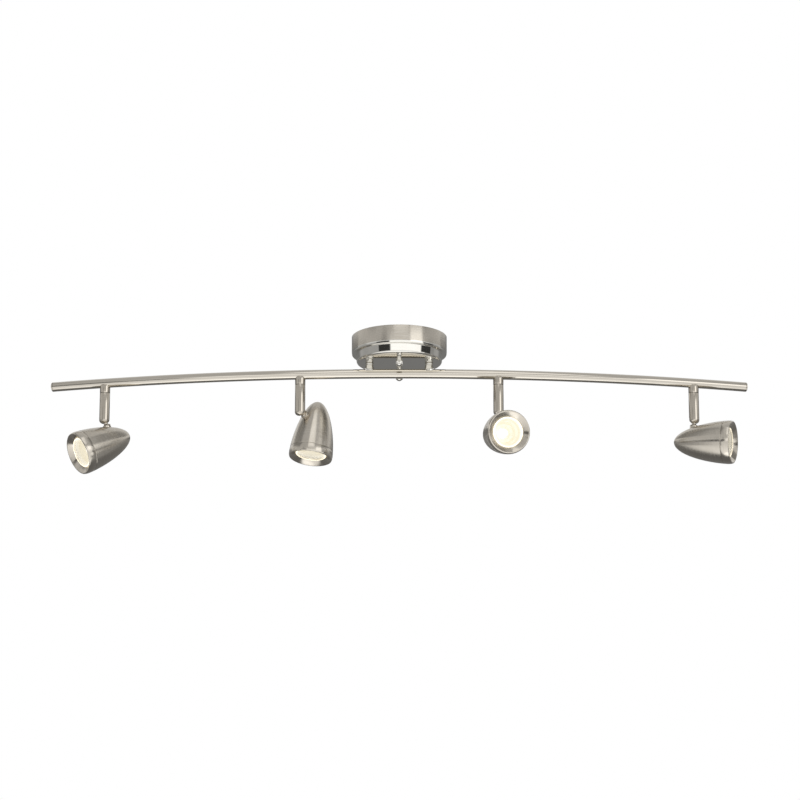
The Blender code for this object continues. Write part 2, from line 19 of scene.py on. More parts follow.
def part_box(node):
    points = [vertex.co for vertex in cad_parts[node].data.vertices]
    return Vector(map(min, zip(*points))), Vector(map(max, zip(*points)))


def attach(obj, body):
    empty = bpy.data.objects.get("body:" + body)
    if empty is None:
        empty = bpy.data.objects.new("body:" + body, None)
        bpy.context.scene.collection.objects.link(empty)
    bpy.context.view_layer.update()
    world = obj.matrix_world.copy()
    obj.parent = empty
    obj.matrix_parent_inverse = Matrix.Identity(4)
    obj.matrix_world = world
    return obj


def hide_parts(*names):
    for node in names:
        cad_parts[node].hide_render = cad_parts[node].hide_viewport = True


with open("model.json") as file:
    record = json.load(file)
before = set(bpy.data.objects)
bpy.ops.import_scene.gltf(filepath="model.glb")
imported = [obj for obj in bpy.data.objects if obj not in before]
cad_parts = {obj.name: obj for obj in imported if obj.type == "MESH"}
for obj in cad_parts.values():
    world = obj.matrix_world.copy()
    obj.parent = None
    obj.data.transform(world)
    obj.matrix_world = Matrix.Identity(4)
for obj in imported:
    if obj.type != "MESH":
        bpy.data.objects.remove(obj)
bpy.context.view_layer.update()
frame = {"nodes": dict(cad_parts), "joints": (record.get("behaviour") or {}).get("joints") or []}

LOG = logging.getLogger("track_light")
MM = 0.001
GAP = 0.3                # seam between two pieces, mm
SADDLE_PLAY = 0.05       # clearance round the bar in a saddle, mm
MERGE = 0.002            # points closer than this are one, mm
TURNED_SIDES = 96        # facets round a turned piece
EDGE_STEPS = 3           # chords in an eased corner
SMOOTH_ANGLE = 34.0      # sharper edges than this stay crisp, degrees
EASE_ANGLE = 25.0        # sharper corners than this are eased, degrees
FLAT_LINES = 1.37        # how far a polishing line moves on per metre across a flat face
HEADS = range(1, 5)
GRAIN = "grain"
TURNING = "turning"

Piece = bpy.types.Object
Tree = bpy.types.NodeTree
Socket = bpy.types.NodeSocket
Point = tuple[float, float]
Colour = tuple[float, float, float, float]


class Grain(Enum):
    """Which way the polishing lines run on a piece, as pattern repeats per metre along (x, y, path)."""

    ROUND = (45.0, 45.0, 2600.0)
    LENGTHWISE = (2600.0, 2600.0, 30.0)


class Side(Enum):
    """The two sides of the fitting along X."""

    LEFT = -1
    RIGHT = 1


# ---------------------------------------------------------------- modelling tools


def select_only(piece: Piece) -> None:
    """Makes one object the only selected and active one.

    Args:
        piece: the object that the next operators act on.
    """
    bpy.ops.object.select_all(action="DESELECT")
    piece.select_set(True)
    bpy.context.view_layer.objects.active = piece


def arc(centre: Point, radius: float, start: float, end: float, steps: int) -> list[Point]:
    """Points of a circular arc in a half section.

    Args:
        centre: (radius, height) of the arc's centre.
        radius: the arc's radius.
        start: first angle in degrees, 0 pointing outwards.
        end: last angle in degrees.
        steps: number of chords.

    Returns:
        The points, both ends included.
    """
    angles = [math.radians(start + (end - start) * i / steps) for i in range(steps + 1)]
    return [(centre[0] + radius * math.cos(a), centre[1] + radius * math.sin(a)) for a in angles]


def eased(section: Sequence[Point], radius: float, closed: bool) -> list[Point]:
    """Rounds the sharp corners of a half section, as polishing does.

    Args:
        section: (radius, height) points.
        radius: the largest corner radius.
        closed: whether the last point joins the first.

    Returns:
        The section with a small arc for each corner over EASE_ANGLE.
    """
    points = [Vector(p) for p in section]
    count = len(points)
    made: list[Point] = []
    for index, corner in enumerate(points):
        ends = index in (0, count - 1) and not closed
        before, after = points[index - 1] - corner, points[(index + 1) % count] - corner
        turn = 0.0 if ends else math.pi - before.angle(after)
        if ends or turn < math.radians(EASE_ANGLE) or corner.x < 1e-6:
            made.append(tuple(corner))
            continue
        reach = min(radius * math.tan(turn / 2), 0.4 * before.length, 0.4 * after.length)
        first, last = corner + before.normalized() * reach, corner + after.normalized() * reach
        for step in range(EDGE_STEPS + 1):
            t = step / EDGE_STEPS
            made.append(tuple((1 - t) ** 2 * first + 2 * t * (1 - t) * corner + t**2 * last))
    return made


def turned(name: str, section: Sequence[Point], sides: int = TURNED_SIDES, ease: float = 0.0) -> Piece:
    """Turns a half section about Z, as on a lathe.

    Args:
        name: the object's name.
        section: (radius, height) points in millimetres; one that starts off the axis closes on itself.
        sides: facets round the axis.
        ease: radius of the eased corners in millimetres.

    Returns:
        The turned object, with closed poles and outward faces.
    """
    closed = section[0][0] > 1e-6
    points = eased(section, ease, closed) if ease else list(section)
    if closed:
        points.append(points[0])
    bpy.ops.object.select_all(action="DESELECT")
    bpy.ops.mesh.primitive_plane_add(size=MM)
    piece = bpy.context.object
    piece.name = piece.data.name = name
    bpy.ops.object.mode_set(mode="EDIT")
    bpy.ops.mesh.select_all(action="SELECT")
    bpy.ops.mesh.merge(type="COLLAPSE")
    bpy.ops.transform.translate(value=(points[0][0] * MM, 0, points[0][1] * MM))
    for (r0, z0), (r1, z1) in zip(points, points[1:]):
        bpy.ops.mesh.extrude_region_move(
            TRANSFORM_OT_translate={"value": ((r1 - r0) * MM, 0, (z1 - z0) * MM)})
    bpy.ops.mesh.select_all(action="SELECT")
    bpy.ops.mesh.spin(steps=sides, angle=math.tau, center=(0, 0, 0), axis=(0, 0, 1))
    bpy.ops.mesh.select_all(action="SELECT")
    bpy.ops.mesh.remove_doubles(threshold=MERGE * MM)
    bpy.ops.mesh.normals_make_consistent(inside=False)
    bpy.ops.object.mode_set(mode="OBJECT")
    return piece


def cylinder(name: str, radius: float, low: float, high: float, place: Matrix = Matrix(),
             sides: int = 48) -> Piece:
    """A plain cutter or pin along Z, in millimetres, set in its place.

    Args:
        name: the object's name.
        radius: its radius in millimetres.
        low: its lower end in millimetres.
        high: its upper end in millimetres.
        place: where it is set, in metres.
        sides: facets round the axis.

    Returns:
        The cylinder.
    """
    bpy.ops.object.select_all(action="DESELECT")
    bpy.ops.mesh.primitive_cylinder_add(vertices=sides, radius=radius * MM, depth=(high - low) * MM,
                                        location=(0, 0, (low + high) / 2 * MM))
    piece = bpy.context.object
    piece.name = name
    set_down(piece)
    return set_down(piece, place)


def set_down(piece: Piece, place: Optional[Matrix] = None) -> Piece:
    """Moves an object and puts its place into its mesh.

    Args:
        piece: the object.
        place: the matrix in metres, or None to keep where it is.

    Returns:
        The same object, at the origin, unturned and unscaled.
    """
    if place is not None:
        piece.matrix_world = place
    select_only(piece)
    bpy.ops.object.transform_apply(location=True, rotation=True, scale=True)
    return piece


def discard(*pieces: Piece) -> None:
    """Removes tools and patterns that are used up."""
    for piece in pieces:
        bpy.data.objects.remove(piece, do_unlink=True)


def modify(piece: Piece, kind: str, **settings: Any) -> None:
    """Puts a modifier on a piece and applies it.

    Args:
        piece: the object.
        kind: the modifier's type.
        settings: the modifier's own properties.
    """
    modifier = piece.modifiers.new(kind.lower(), kind)
    for key, value in settings.items():
        setattr(modifier, key, value)
    select_only(piece)
    bpy.ops.object.modifier_apply(modifier=modifier.name)


def combine(piece: Piece, tool: Piece, operation: str = "DIFFERENCE") -> None:
    """Cuts a tool out of a piece, or joins it on, and removes the tool.

    Args:
        piece: the object that stays.
        tool: the object that is used up.
        operation: DIFFERENCE or UNION.
    """
    modify(piece, "BOOLEAN", operation=operation, solver="EXACT", object=tool)
    discard(tool)


def pick(piece: Piece, wanted: Callable[[Vector], bool]) -> None:
    """Opens a piece in edit mode with only some of its vertices selected.

    Args:
        piece: the object.
        wanted: tells whether a vertex at this place is selected.
    """
    select_only(piece)
    bpy.ops.object.mode_set(mode="EDIT")
    bpy.ops.mesh.select_mode(type="VERT")
    bpy.ops.mesh.select_all(action="DESELECT")
    bpy.ops.object.mode_set(mode="OBJECT")
    for vertex in piece.data.vertices:
        vertex.select = wanted(vertex.co)
    bpy.ops.object.mode_set(mode="EDIT")


def middle_of(node: str) -> Vector:
    """The middle of a solid's box, in metres."""
    return sum(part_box(node), Vector()) / 2


def about_z(point: Vector) -> Vector:
    """A point of a turned piece as it is: x and y across, z along the axis."""
    return point.copy()


def grained(piece: Piece, straighten: Callable[[Vector], Vector] = about_z) -> Piece:
    """Records how the polishing lines follow a piece, smooths its shading and gives it a UV map round its axis.

    Args:
        piece: the object, still about its own axis.
        straighten: gives a point's place about a straight Z axis.

    Returns:
        The same object.
    """
    mesh = piece.data
    for stale in list(mesh.uv_layers):
        mesh.uv_layers.remove(stale)
    spots = [straighten(vertex.co) for vertex in mesh.vertices]
    lines = mesh.attributes.new(GRAIN, "FLOAT_VECTOR", "POINT")
    for spot, item in zip(spots, lines.data):
        item.vector = (spot.x, spot.y, spot.z + FLAT_LINES * math.hypot(spot.x, spot.y))
    uv = mesh.uv_layers.new(name=TURNING)
    for face in mesh.polygons:
        middle = sum((spots[v] for v in face.vertices), Vector()) / len(face.vertices)
        heading = math.atan2(middle.y, middle.x)
        for loop in face.loop_indices:
            spot = spots[mesh.loops[loop].vertex_index]
            across = math.hypot(spot.x, spot.y)
            swing = math.remainder(math.atan2(spot.y, spot.x) - heading, math.tau) if across > 1e-5 else 0.0
            uv.data[loop].uv = ((heading + swing) / math.tau, (spot.z + FLAT_LINES * across) * 10)
    select_only(piece)
    bpy.ops.object.shade_smooth_by_angle(angle=math.radians(SMOOTH_ANGLE))
    return piece


def copy_of(pattern: Piece, name: str, place: Matrix) -> Piece:
    """Copies a pattern piece, mesh and all, and sets it down in its place.

    Args:
        pattern: the piece to copy.
        name: the copy's name.
        place: its place in metres.

    Returns:
        The copy, with its own mesh.
    """
    select_only(pattern)
    bpy.ops.object.duplicate(linked=False)
    twin = bpy.context.object
    twin.name = twin.data.name = name
    return set_down(twin, place)


def fit(piece: Piece, finish: Sequence[bpy.types.Material], body: str, slot: str, *nodes: str) -> None:
    """Dresses a finished piece and hands it to the body that it moves with.

    Args:
        piece: the finished piece.
        finish: its materials, in the order of its faces' indices.
        body: the body that it rides on.
        slot: the record's material slot for the piece; not used.
        nodes: the solids that it stands for.
    """
    for material in finish:
        piece.data.materials.append(material)
    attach(piece, body)
    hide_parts(*nodes)
    LOG.info("%s rides on %s, %d faces", piece.name, body, len(piece.data.polygons))


def dress_solids(finish: bpy.types.Material, slot: str, *nodes: str) -> None:
    """Gives solids whose shape is kept a better material.

    Args:
        finish: the material.
        slot: the record's material slot for the solids; not used.
        nodes: the solids' names.
    """
    for name in nodes:
        solid = frame["nodes"][name]
        if not solid.data.materials:
            solid.data.materials.append(finish)
        for place in solid.material_slots:
            place.link = "OBJECT"
            place.material = finish
        LOG.info("%s keeps its solid, in %s", name, finish.name)


# ---------------------------------------------------------------- materials


def srgb(code: str) -> Colour:
    """The linear colour of an sRGB hex code.

    Args:
        code: such as "#D4CDC1".

    Returns:
        Linear red, green, blue and an alpha of 1.
    """
    parts = [int(code[i:i + 2], 16) / 255 for i in (1, 3, 5)]
    red, green, blue = (c / 12.92 if c <= 0.04045 else ((c + 0.055) / 1.055) ** 2.4 for c in parts)
    return red, green, blue, 1.0


def add_node(tree: Tree, kind: str, settings: Optional[dict[str, Any]] = None,
             inputs: Optional[dict[Any, Any]] = None,
             stops: Sequence[tuple[float, Colour]] = ()) -> bpy.types.Node:
    """Adds a node with its settings, its inputs' values or links, and its ramp's stops.

    Args:
        tree: the node tree.
        kind: the node type's identifier.
        settings: the node's own properties.
        inputs: input name or number to a value, or to the output socket that it is linked from.
        stops: positions and colours of a colour ramp.

    Returns:
        The node.
    """
    node = tree.nodes.new(kind)
    for key, value in (settings or {}).items():
        setattr(node, key, value)
    for key, value in (inputs or {}).items():
        if isinstance(value, Socket):
            tree.links.new(value, node.inputs[key])
        else:
            node.inputs[key].default_value = value
    for index, (position, colour) in enumerate(stops):
        elements = node.color_ramp.elements
        element = elements[index] if index < 2 else elements.new(position)
        element.position, element.color = position, colour
    return node


def grey(value: float) -> Colour:
    """A neutral linear colour."""
    return value, value, value, 1.0


def maths(tree: Tree, operation: str, *values: Any) -> Socket:
    """The result of an operation on numbers or sockets."""
    return add_node(tree, "ShaderNodeMath", {"operation": operation}, dict(enumerate(values))).outputs[0]


def spread(tree: Tree, value: Socket, low: float, high: float, first: float = 0.0, last: float = 1.0,
           curve: str = "LINEAR") -> Socket:
    """The value, from low to high, spread from first to last."""
    return add_node(tree, "ShaderNodeMapRange", {"interpolation_type": curve}, {
        "Value": value, "From Min": low, "From Max": high, "To Min": first, "To Max": last}).outputs[0]


def noise(tree: Tree, place: Socket, scale: float, detail: float, roughness: float = 0.5) -> Socket:
    """The strength of a noise that repeats about scale times a metre."""
    return add_node(tree, "ShaderNodeTexNoise", inputs={
        "Vector": place, "Scale": scale, "Detail": detail, "Roughness": roughness}).outputs["Fac"]


def ramp(tree: Tree, value: Socket, *stops: tuple[float, Colour]) -> Socket:
    """The colour of a ramp whose first two stops are its ends."""
    return add_node(tree, "ShaderNodeValToRGB", inputs={"Fac": value}, stops=stops).outputs[0]


def mix(tree: Tree, share: Socket, first: Any, second: Any) -> Socket:
    """The first colour, and the second where the share is 1."""
    return add_node(tree, "ShaderNodeMix", {"data_type": "RGBA"}, {0: share, 6: first, 7: second}).outputs[2]


def bump(tree: Tree, height: Socket, strength: float, distance: float) -> Socket:
    """The facing of a surface with a relief up to distance millimetres high."""
    return add_node(tree, "ShaderNodeBump", inputs={
        "Height": height, "Strength": strength, "Distance": distance * MM}).outputs[0]


@dataclass(frozen=True)
class Finish:
    """What all finishes have: a name and a shader on an empty tree."""

    name: str

    def tree(self) -> tuple[bpy.types.Material, Tree]:
        """A new material with an empty node tree.

        Returns:
            The material and its tree.
        """
        made = bpy.data.materials.new(self.name)
        made.use_nodes = True
        made.node_tree.nodes.clear()
        return made, made.node_tree

    def close(self, tree: Tree, inputs: dict[str, Any]) -> None:
        """Adds the shader and the output.

        Args:
            tree: the material's node tree.
            inputs: the shader's values and links.
        """
        shader = add_node(tree, "ShaderNodeBsdfPrincipled", inputs=inputs)
        add_node(tree, "ShaderNodeOutputMaterial", inputs={"Surface": shader.outputs[0]})


@dataclass(frozen=True)
class Nickel(Finish):
    """Nickel plate over steel, polished or brushed: a warm grey mirror that fine lines blur across themselves.

    The real lines are about 0.1 mm apart. They are drawn at about 0.4 mm, as fine as shows.
    """

    grain: Grain = Grain.ROUND
    light: str = "#DAD4C9"
    dark: str = "#C9C1B4"
    roughness: float = 0.23
    anisotropy: float = 0.88
    relief: float = 0.008

    def make(self) -> bpy.types.Material:
        """Builds the material.

        Returns:
            The nickel material.
        """
        made, tree = self.tree()
        place = add_node(tree, "ShaderNodeAttribute", {"attribute_name": GRAIN}).outputs["Vector"]
        along = add_node(tree, "ShaderNodeMapping", {"vector_type": "POINT"},
                         {"Vector": place, "Scale": self.grain.value})
        lines = noise(tree, along.outputs[0], 1.0, 3.0, 0.6)
        cloud = noise(tree, place, 70.0, 2.0)
        tone = maths(tree, "MULTIPLY_ADD", cloud, 0.25, maths(tree, "MULTIPLY", lines, 0.75))
        around = add_node(tree, "ShaderNodeTangent", {"direction_type": "UV_MAP", "uv_map": TURNING})
        self.close(tree, {
            "Base Color": ramp(tree, tone, (0.3, srgb(self.dark)), (0.7, srgb(self.light))), "Metallic": 1.0,
            "Roughness": spread(tree, lines, 0.25, 0.75, self.roughness * 0.8, self.roughness * 1.25),
            "Anisotropic": self.anisotropy, "Normal": bump(tree, lines, self.relief, 0.02),
            "Tangent": around.outputs[0], "Anisotropic Rotation": 0.25 if self.grain is Grain.ROUND else 0.0})
        return made


@dataclass(frozen=True)
class Mottled(Finish):
    """A finish that clouds gently between two colours: zinc plate, brass, glaze or moulded plastic."""

    light: str = "#C8CBCE"
    dark: str = "#A9ADB1"
    patch: float = 4.0
    metallic: float = 1.0
    roughness: float = 0.38
    speck: float = 0.35
    relief: float = 0.2

    def make(self) -> bpy.types.Material:
        """Builds the material.

        Returns:
            The mottled material, on object coordinates.
        """
        made, tree = self.tree()
        place = add_node(tree, "ShaderNodeTexCoord").outputs["Object"]
        cloud = noise(tree, place, 1 / (self.patch * MM), 4.0, 0.6)
        fine = noise(tree, place, 1 / (self.speck * MM), 2.0)
        self.close(tree, {
            "Base Color": ramp(tree, cloud, (0.3, srgb(self.dark)), (0.7, srgb(self.light))),
            "Roughness": spread(tree, fine, 0.0, 1.0, self.roughness * 0.75, self.roughness * 1.25),
            "Metallic": self.metallic, "Normal": bump(tree, fine, self.relief, 0.05)})
        return made


class Glow(Enum):
    """How the lit lamp's parts glow: strength, unevenness, and sRGB colours at shares of the rim's radius."""

    LENS = (0.36, 0.004, ((0.0, "#6A6456"), (1.0, "#FFF3D8"), (0.93, "#6A6456"), (0.95, "#FFF3D8")))
    REFLECTOR = (0.92, 0.012, ((0.0, "#FFFFFF"), (1.0, "#FFFAEA"), (0.32, "#FFFCF2"), (0.44, "#F3E7C8"),
                               (0.55, "#FDF6E2"), (0.68, "#EFE2BE"), (0.8, "#FCF4DE"), (0.9, "#EEE1C0")))
    CAPSULE = (1.8, 0.01, ((0.0, "#FFFFFF"), (1.0, "#FFFAEE")))


@dataclass(frozen=True)
class Lit(Finish):
    """A part of the lit lamp, warm white: pressed glass lens, aluminised reflector or frosted glass capsule."""

    glow: Glow = Glow.REFLECTOR
    base: str = "#2E2A20"
    rim: float = 18.8
    roughness: float = 0.25
    transmission: float = 0.0
    dimples: float = 420.0
    steepness: float = 5.0

    def make(self) -> bpy.types.Material:
        """Builds the material.

        Returns:
            The glowing material, whose colour follows the distance from the lamp's axis.
        """
        made, tree = self.tree()
        strength, uneven, colours = self.glow.value
        place = add_node(tree, "ShaderNodeAttribute", {"attribute_name": GRAIN}).outputs["Vector"]
        flat = add_node(tree, "ShaderNodeVectorMath", {"operation": "MULTIPLY"}, {0: place, 1: (1, 1, 0)})
        reach = add_node(tree, "ShaderNodeVectorMath", {"operation": "LENGTH"}, {0: flat.outputs[0]})
        cells = add_node(tree, "ShaderNodeTexVoronoi", inputs={"Vector": place, "Scale": self.dimples})
        deep, out = cells.outputs["Distance"], spread(tree, reach.outputs["Value"], 0.0, self.rim * MM)
        share = maths(tree, "MULTIPLY_ADD", deep, uneven, out)
        self.close(tree, {
            "Base Color": srgb(self.base), "Roughness": self.roughness, "IOR": 1.47,
            "Transmission Weight": self.transmission, "Emission Strength": strength,
            "Emission Color": ramp(tree, share, *[(position, srgb(code)) for position, code in colours]),
            "Normal": bump(tree, deep, self.steepness * uneven, 0.2)})
        return made


class Workshop:
    """Every finish of the fitting, made once."""

    def __init__(self) -> None:
        """Makes the materials."""
        # Nickel plate brushed on a lathe: warm grey, with lights drawn out along the axis.
        self.brushed = Nickel("nickel_plate_brushed_round").make()
        # The same plate on the tube, drawn lengthwise: one crisp light along the bar.
        self.tube = Nickel("nickel_plate_brushed_lengthwise", grain=Grain.LENGTHWISE, roughness=0.09,
                           anisotropy=0.3, light="#D7D1C6", dark="#CFC8BC").make()
        # Polished plate: a nearly clear mirror.
        self.polished = Nickel("nickel_plate_polished", roughness=0.06, anisotropy=0.2, relief=0.015,
                               light="#E9E7E1", dark="#DEDBD3").make()
        # Satin plate: a soft mirror on the stems, collars and studs, and softer still on the rings. The stems'
        # copy is darker than the other nickel: its tone is painted shade for the darker reflections on the
        # stems.
        self.stem = Nickel("nickel_plate_satin_stem_painted_shade", roughness=0.07, anisotropy=0.7, relief=0.004,
                           light="#CFC8BC", dark="#BFB7AA").make()
        self.satin = Nickel("nickel_plate_satin_ring", roughness=0.2, anisotropy=0.8, relief=0.006).make()
        # Zinc plate on stamped steel: a cool grey with soft cloudy spangle.
        self.zinc = Mottled("zinc_plate_on_stamped_steel").make()
        # Free-cutting brass, turned and left bare: yellow, slightly dulled.
        self.brass = Mottled("brass_turned_bare", light="#D9B765", dark="#B8924A", patch=3.0,
                             roughness=0.3).make()
        # Earth screw: zinc plate dyed green.
        self.green = Mottled("zinc_plate_dyed_green", light="#3F8A55", dark="#2C6B40", patch=2.0,
                             roughness=0.32).make()
        # Twist-on connector: moulded polypropylene, slightly waxy.
        self.connector = Mottled("polypropylene_moulded_mustard", light="#C98F2E", dark="#B67F24", metallic=0.0,
                                 roughness=0.45, patch=5.0).make()
        # Lead and cable: extruded PVC, matt black with a faint grain.
        self.lead = Mottled("pvc_extruded_black", light="#2B2B2C", dark="#1C1C1D", metallic=0.0, roughness=0.5,
                            patch=3.0).make()
        # Lamp body: moulded heat-proof plastic, off-white.
        self.lamp = Mottled("plastic_moulded_white", light="#E4E1DA", dark="#D6D2C9", metallic=0.0,
                            roughness=0.42, patch=6.0).make()
        # Lampholder: pressed steatite ceramic with a thin glaze.
        self.ceramic = Mottled("steatite_pressed_glazed", light="#E6E0D2", dark="#D2CBBB", metallic=0.0,
                               roughness=0.28, patch=2.5).make()
        # Lit lamp: clear pressed glass over an aluminised dish and a frosted quartz capsule, all warm white.
        self.lens = Lit("borosilicate_pressed_lens", Glow.LENS, base="#FFFFFF", roughness=0.12,
                        transmission=1.0).make()
        self.reflector = Lit("aluminium_vapour_on_glass_lit", Glow.REFLECTOR).make()
        self.capsule = Lit("quartz_frosted_capsule_lit", Glow.CAPSULE, rim=4.0).make()


# ---------------------------------------------------------------- the bar's bow


@dataclass(frozen=True)
class Bow:
    """The circular arc of the bar's centre line, in the horizontal plane."""

    radius: float = 1570.0
    height: float = -47.4

    def angle(self, x: float) -> float:
        """Angle round the bow's centre, in radians, of the bar at x millimetres."""
        return math.asin(x / self.radius)

    def point(self, x: float, z: Optional[float] = None) -> Vector:
        """The centre line at x, in metres.

        Args:
            x: millimetres along X.
            z: height in millimetres, or None for the bar's own.

        Returns:
            The point.
        """
        deep = self.radius * (1 - math.cos(self.angle(x)))
        return Vector((x, deep, self.height if z is None else z)) * MM

    def straighten(self, spot: Vector) -> Vector:
        """A point of the bowed tube as if the tube ran straight along Z.

        Args:
            spot: the point in metres.

        Returns:
            Its place across and along the straight tube.
        """
        centre = Vector((0, self.radius * MM))
        arm = spot.xy - centre
        along = math.atan2(arm.x, -arm.y) * self.radius * MM
        return Vector((arm.length - self.radius * MM, spot.z - self.height * MM, along))


# ---------------------------------------------------------------- canopy and posts


@dataclass
class Canopy:
    """The two-step cup against the ceiling, with its finial nuts."""

    radius: float = 60.0
    step_radius: float = 54.8
    step_depth: float = 22.9
    depth: float = 34.0
    wall: float = 1.2
    fillet: float = 2.8
    draft: float = 0.9
    post_hole: float = 4.1
    nut_hole: float = 2.5
    polish_line: float = 3.1
    nut_flutes: int = 32
    flute_depth: float = 0.07

    def cup(self) -> Piece:
        """Models the cup: upper band, rolled ledge, lower band and floor, with its four holes.

        Returns:
            The cup, with faces of the lower band and ledge on index 1 and the inside on index 2.
        """
        wall, fillet, step = self.wall, self.fillet, self.step_radius
        centre = (step - self.draft - fillet, fillet - self.depth)
        round_edge = arc((self.radius - 0.95, 0.65 - self.step_depth), 0.65, -8, -90, 6)
        outside = [(self.radius, 0), (self.radius, 3.2 - self.step_depth), *round_edge,
                   (step + 0.9, -self.step_depth), *arc((step + 0.5, -self.step_depth - 0.5), 0.5, 90, 180, 4),
                   *arc(centre, fillet, -7, -90, 10)]
        inside = [*arc(centre, fillet - wall, -90, 0, 5), (step - wall, wall - self.step_depth),
                  (self.radius - wall, wall - self.step_depth), (self.radius - wall, 0)]
        floor = [(40, -self.depth), (20, -self.depth), (0, -self.depth)]
        section = [(0, wall - self.depth), (20, wall - self.depth), (40, wall - self.depth),
                   *inside, *outside, *floor]
        piece = turned("canopy_cup", section, sides=144, ease=0.15)
        holes = [(self.post_hole, (middle_of(f"post_{side}").x, 0, 0), 48) for side in ("left", "right")]
        holes += [(self.nut_hole, (0, middle_of(f"cap_nut_{end}").y, 0), 24) for end in ("front", "back")]
        low, high = -self.depth - 2, -self.depth + 4
        for radius, place, sides in holes:
            combine(piece, cylinder("hole", radius, low, high, Matrix.Translation(place), sides))
        for face in piece.data.polygons:
            across = math.hypot(face.center.x, face.center.y) / MM
            outward = Vector((face.center.x, face.center.y, 0)).dot(face.normal)
            top = face.normal.z > 0.5 and across < self.radius - 0.5
            inner = top or (face.normal.z > -0.5 and outward < 0)
            lower = face.center.z < (self.polish_line - self.step_depth) * MM
            face.material_index = 2 if inner else 1 if lower else 0
        return grained(piece)

    def finial(self) -> Piece:
        """Models a finial nut: bell, bead, knurled band and domed end, with its blind hole.

        Returns:
            The pattern nut about Z, its top face at height 0.
        """
        section = [(0, -7.6), (2.5, -7.6), (2.5, 0), (3.0, 0), (3.05, -1.2), (3.2, -2.4), (3.5, -4.2),
                   (3.95, -5.2), (3.9, -5.6), (3.55, -5.9), (3.6, -6.3), (4.3, -6.6), (4.3, -7.0), (4.3, -10.6),
                   (4.2, -11.0), *arc((0, -8.73), 4.27, -33, -90, 8)]
        piece = turned("finial", section, sides=self.nut_flutes * 3)
        pitch = math.tau / (self.nut_flutes * 3)

        def in_groove(spot: Vector) -> bool:
            """Whether a point is on every third line of the knurled band."""
            band = -10.7 * MM < spot.z < -6.9 * MM and math.hypot(spot.x, spot.y) > 4 * MM
            return band and round(math.atan2(spot.y, spot.x) / pitch) % 3 == 0

        pick(piece, in_groove)
        waist = 1 - self.flute_depth
        bpy.ops.transform.resize(value=(waist, waist, 1), center_override=(0, 0, 0))
        bpy.ops.object.mode_set(mode="OBJECT")
        return grained(piece)

    def build(self, shop: Workshop) -> None:
        """Models and dresses the canopy's pieces.

        Args:
            shop: the finishes.
        """
        fit(self.cup(), (shop.brushed, shop.polished, shop.zinc), "fixture", "brushed_nickel", "canopy")
        pattern = self.finial()
        for place in ("front", "back"):
            low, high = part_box(f"cap_nut_{place}")
            seat = Matrix.Translation((0, (low.y + high.y) / 2, high.z))
            fit(copy_of(pattern, f"finial_{place}", seat), (shop.polished,), "fixture", "brushed_nickel",
                f"cap_nut_{place}")
        discard(pattern)


@dataclass
class Posts:
    """The two short flared spacers between canopy and bar."""

    bow: Bow
    bore: float = 4.1
    tube_radius: float = 6.0

    def build(self, shop: Workshop) -> None:
        """Models and dresses both spacers.

        Args:
            shop: the finishes.
        """
        for side in Side:
            name = side.name.lower()
            low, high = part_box(f"post_{name}")
            x, top, bottom = (low.x + high.x) / 2 / MM, high.z / MM, self.bow.height + 3
            section = [(self.bore, top), (5.2, top), (5.2, top - 0.6), (5.0, top - 0.8), (5.0, top - 2.2),
                       (5.1, top - 3.2), (5.4, top - 4.6), (5.9, top - 6.2), (6.3, top - 7.4), (6.3, bottom),
                       (self.bore, bottom)]
            piece = turned(f"spacer_{name}", section, ease=0.12)
            saddle = Matrix.Translation((0, self.bow.point(x).y, self.bow.height * MM)) @ \
                Matrix.Rotation(math.pi / 2, 4, "Y")
            combine(piece, cylinder("tube", self.tube_radius + SADDLE_PLAY, -12, 12, saddle, 64))
            grained(piece)
            set_down(piece, Matrix.Translation((x * MM, 0, 0)) @ Matrix.Rotation(self.bow.angle(x), 4, "Z"))
            fit(piece, (shop.polished,), "fixture", "brushed_nickel", f"post_{name}")


# ---------------------------------------------------------------- bar and collars


